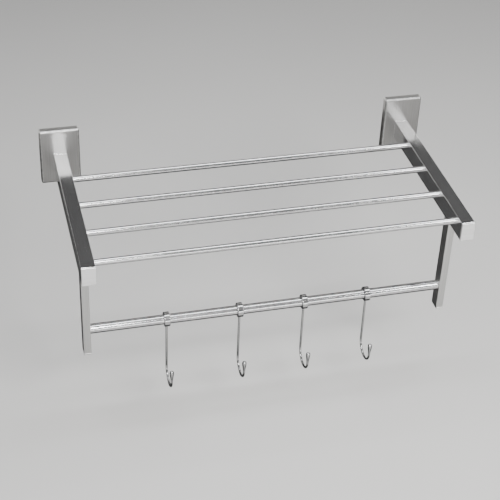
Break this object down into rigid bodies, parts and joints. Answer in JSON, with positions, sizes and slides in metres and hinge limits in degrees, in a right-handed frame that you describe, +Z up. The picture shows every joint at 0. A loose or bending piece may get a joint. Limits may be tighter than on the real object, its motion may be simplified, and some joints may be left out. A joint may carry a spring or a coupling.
{
  "type": "towel rack",
  "caption": "Wall-mounted towel rack: round-bar shelf between two rectangular arms, with a towel rail and sliding hooks hung below on two drop bars.",
  "frame": {"origin": "centre of the four wall screws, on the wall", "axes": "+X along the bars, -Y out from the wall into the room, +Z up"},
  "size_m": [0.666, 0.334, 0.3378],
  "materials": {
    "cover_steel": "satin stainless steel, finely brushed",
    "arm_steel": "polished stainless steel",
    "cap_steel": "bright satin stainless steel",
    "bar_steel": "polished stainless steel tube",
    "drop_steel": "satin stainless steel",
    "rail_steel": "polished stainless steel tube",
    "hook_steel": "polished stainless steel",
    "bracket_steel": "zinc-plated pressed steel",
    "screw_steel": "plain stainless steel set screw",
    "liner_plastic": "moulded nylon"
  },
  "bodies": {
    "rack": {"wall_bracket_left": "bracket_steel", "wall_bracket_right": "bracket_steel", "wall_cover_left": "cover_steel", "wall_cover_right": "cover_steel", "grub_screw_left": "screw_steel", "grub_screw_right": "screw_steel", "arm_left": "arm_steel", "arm_right": "arm_steel", "arm_cap_left": "cap_steel", "arm_cap_right": "cap_steel", "shelf_bar_1": "bar_steel", "shelf_bar_2": "bar_steel", "shelf_bar_3": "bar_steel", "shelf_bar_4": "bar_steel", "drop_bar_left": "drop_steel", "drop_bar_right": "drop_steel", "drop_foot_left": "drop_steel", "drop_foot_right": "drop_steel", "towel_rail": "rail_steel"},
    "hook_1_liner": {"hook_liner_1": "liner_plastic"},
    "hook_1": {"hook_ring_1": "hook_steel", "hook_wire_1": "hook_steel"},
    "hook_2_liner": {"hook_liner_2": "liner_plastic"},
    "hook_2": {"hook_ring_2": "hook_steel", "hook_wire_2": "hook_steel"},
    "hook_3_liner": {"hook_liner_3": "liner_plastic"},
    "hook_3": {"hook_ring_3": "hook_steel", "hook_wire_3": "hook_steel"},
    "hook_4_liner": {"hook_liner_4": "liner_plastic"},
    "hook_4": {"hook_ring_4": "hook_steel", "hook_wire_4": "hook_steel"}
  },
  "joints": [
    {"name": "hook_1_slide", "type": "slide", "parent": "rack", "child": "hook_1_liner", "axis": [1, 0, 0], "range_m": [-0.119, 0.0555]},
    {"name": "hook_1_swing", "type": "hinge", "parent": "hook_1_liner", "child": "hook_1", "pos_m": [-0.17, -0.263, -0.168], "axis": [1, 0, 0], "range_deg": [-180, 180]},
    {"name": "hook_2_slide", "type": "slide", "parent": "rack", "child": "hook_2_liner", "axis": [1, 0, 0], "range_m": [-0.0555, 0.0495]},
    {"name": "hook_2_swing", "type": "hinge", "parent": "hook_2_liner", "child": "hook_2", "pos_m": [-0.049, -0.263, -0.168], "axis": [1, 0, 0], "range_deg": [-180, 180]},
    {"name": "hook_3_slide", "type": "slide", "parent": "rack", "child": "hook_3_liner", "axis": [1, 0, 0], "range_m": [-0.0495, 0.049]},
    {"name": "hook_3_swing", "type": "hinge", "parent": "hook_3_liner", "child": "hook_3", "pos_m": [0.06, -0.263, -0.168], "axis": [1, 0, 0], "range_deg": [-180, 180]},
    {"name": "hook_4_slide", "type": "slide", "parent": "rack", "child": "hook_4_liner", "axis": [1, 0, 0], "range_m": [-0.049, 0.121]},
    {"name": "hook_4_swing", "type": "hinge", "parent": "hook_4_liner", "child": "hook_4", "pos_m": [0.168, -0.263, -0.168], "axis": [1, 0, 0], "range_deg": [-180, 180]}
  ]
}
